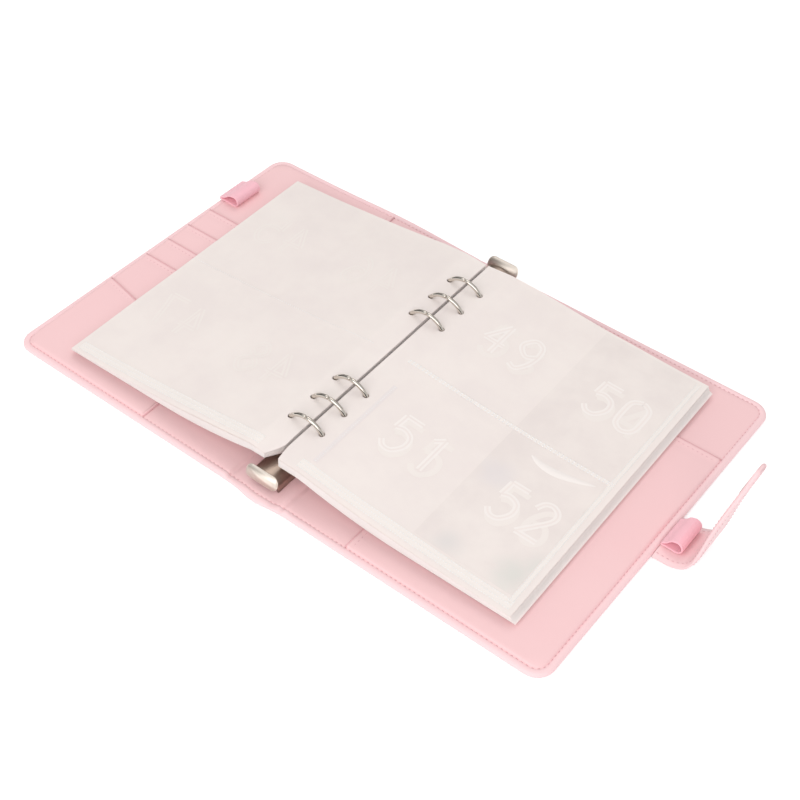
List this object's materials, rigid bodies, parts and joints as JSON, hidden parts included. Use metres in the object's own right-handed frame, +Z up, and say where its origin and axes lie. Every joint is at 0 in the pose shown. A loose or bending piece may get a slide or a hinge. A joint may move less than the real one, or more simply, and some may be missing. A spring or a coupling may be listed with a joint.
{
  "type": "cash envelope wallet",
  "caption": "Ring-bound wallet lying open, with clear pocket pages on snap rings, card pockets inside the covers, pen loops and a closing strap.",
  "frame": {"origin": "centre of the spine's underside, below the line of the rings", "axes": "+X across the open wallet to the back cover and its strap, +Y along the spine to the top of the pages, +Z up from the surface it lies on"},
  "size_m": [0.4143, 0.2364, 0.0833],
  "materials": {
    "cover_skin": "matte",
    "cover_lining": "matte",
    "elastic": "matte",
    "closing_disc": "satin",
    "housing_nickel": "satin",
    "ring_nickel": "polished",
    "page_film": "frosted"
  },
  "bodies": {
    "spine": {"spine_cover": "cover_skin", "spine_lining": "cover_lining", "ring_housing": "housing_nickel", "near_rivet": "housing_nickel", "far_rivet": "housing_nickel"},
    "front_cover": {"front_cover": "cover_skin", "front_lining": "cover_lining", "left_pocket_panel": "cover_lining", "card_slot_1": "cover_lining", "card_slot_2": "cover_lining", "card_slot_3": "cover_lining", "card_slot_4": "cover_lining", "card_slot_5": "cover_lining", "pen_loop_left": "elastic", "closing_disc_cover": "closing_disc"},
    "back_cover": {"back_cover": "cover_skin", "back_lining": "cover_lining", "right_pocket_panel": "cover_lining", "pen_loop_right": "elastic", "closing_strap": "cover_skin", "closing_disc_strap": "closing_disc"},
    "left_rings": {"left_leaf": "housing_nickel", "left_ring_1": "ring_nickel", "left_ring_2": "ring_nickel", "left_ring_3": "ring_nickel", "left_ring_4": "ring_nickel", "left_ring_5": "ring_nickel", "left_ring_6": "ring_nickel"},
    "right_rings": {"right_leaf": "housing_nickel", "right_ring_1": "ring_nickel", "right_ring_2": "ring_nickel", "right_ring_3": "ring_nickel", "right_ring_4": "ring_nickel", "right_ring_5": "ring_nickel", "right_ring_6": "ring_nickel"},
    "near_lever": {"near_lever": "housing_nickel"},
    "far_lever": {"far_lever": "housing_nickel"},
    "left_pages": {"left_pages": "page_film"},
    "right_pages": {"right_pages": "page_film"}
  },
  "joints": [
    {"name": "front_cover_fold", "type": "hinge", "parent": "spine", "child": "front_cover", "pos_m": [-0.019, 0, 0.003], "axis": [0, 1, 0], "range_deg": [0, 90]},
    {"name": "back_cover_fold", "type": "hinge", "parent": "spine", "child": "back_cover", "pos_m": [0.019, 0, 0.003], "axis": [0, -1, 0], "range_deg": [0, 90]},
    {"name": "left_pages_turn", "type": "hinge", "parent": "spine", "child": "left_pages", "pos_m": [-0.0036, 0, 0.0175], "axis": [0, 1, 0], "range_deg": [0, 93]},
    {"name": "right_pages_turn", "type": "hinge", "parent": "spine", "child": "right_pages", "pos_m": [0.0036, 0, 0.0175], "axis": [0, -1, 0], "range_deg": [0, 93]},
    {"name": "left_rings_open", "type": "hinge", "parent": "spine", "child": "left_rings", "pos_m": [-0.0085, 0, 0.0057], "axis": [0, -1, 0], "range_deg": [0, 12]},
    {"name": "right_rings_open", "type": "hinge", "parent": "spine", "child": "right_rings", "pos_m": [0.0085, 0, 0.0057], "axis": [0, 1, 0], "range_deg": [0, 12]},
    {"name": "near_lever_press", "type": "hinge", "parent": "spine", "child": "near_lever", "pos_m": [0, -0.1052, 0.0046], "axis": [1, 0, 0], "range_deg": [0, 24]},
    {"name": "far_lever_press", "type": "hinge", "parent": "spine", "child": "far_lever", "pos_m": [0, 0.1106, 0.0046], "axis": [-1, 0, 0], "range_deg": [0, 24]}
  ],
  "couplings": [
    {"joint": "left_pages_turn", "follows": "front_cover_fold", "ratio": 1.03},
    {"joint": "right_pages_turn", "follows": "back_cover_fold", "ratio": 1.03},
    {"joint": "right_rings_open", "follows": "left_rings_open", "ratio": 1},
    {"joint": "near_lever_press", "follows": "left_rings_open", "ratio": 2},
    {"joint": "far_lever_press", "follows": "left_rings_open", "ratio": 2}
  ]
}
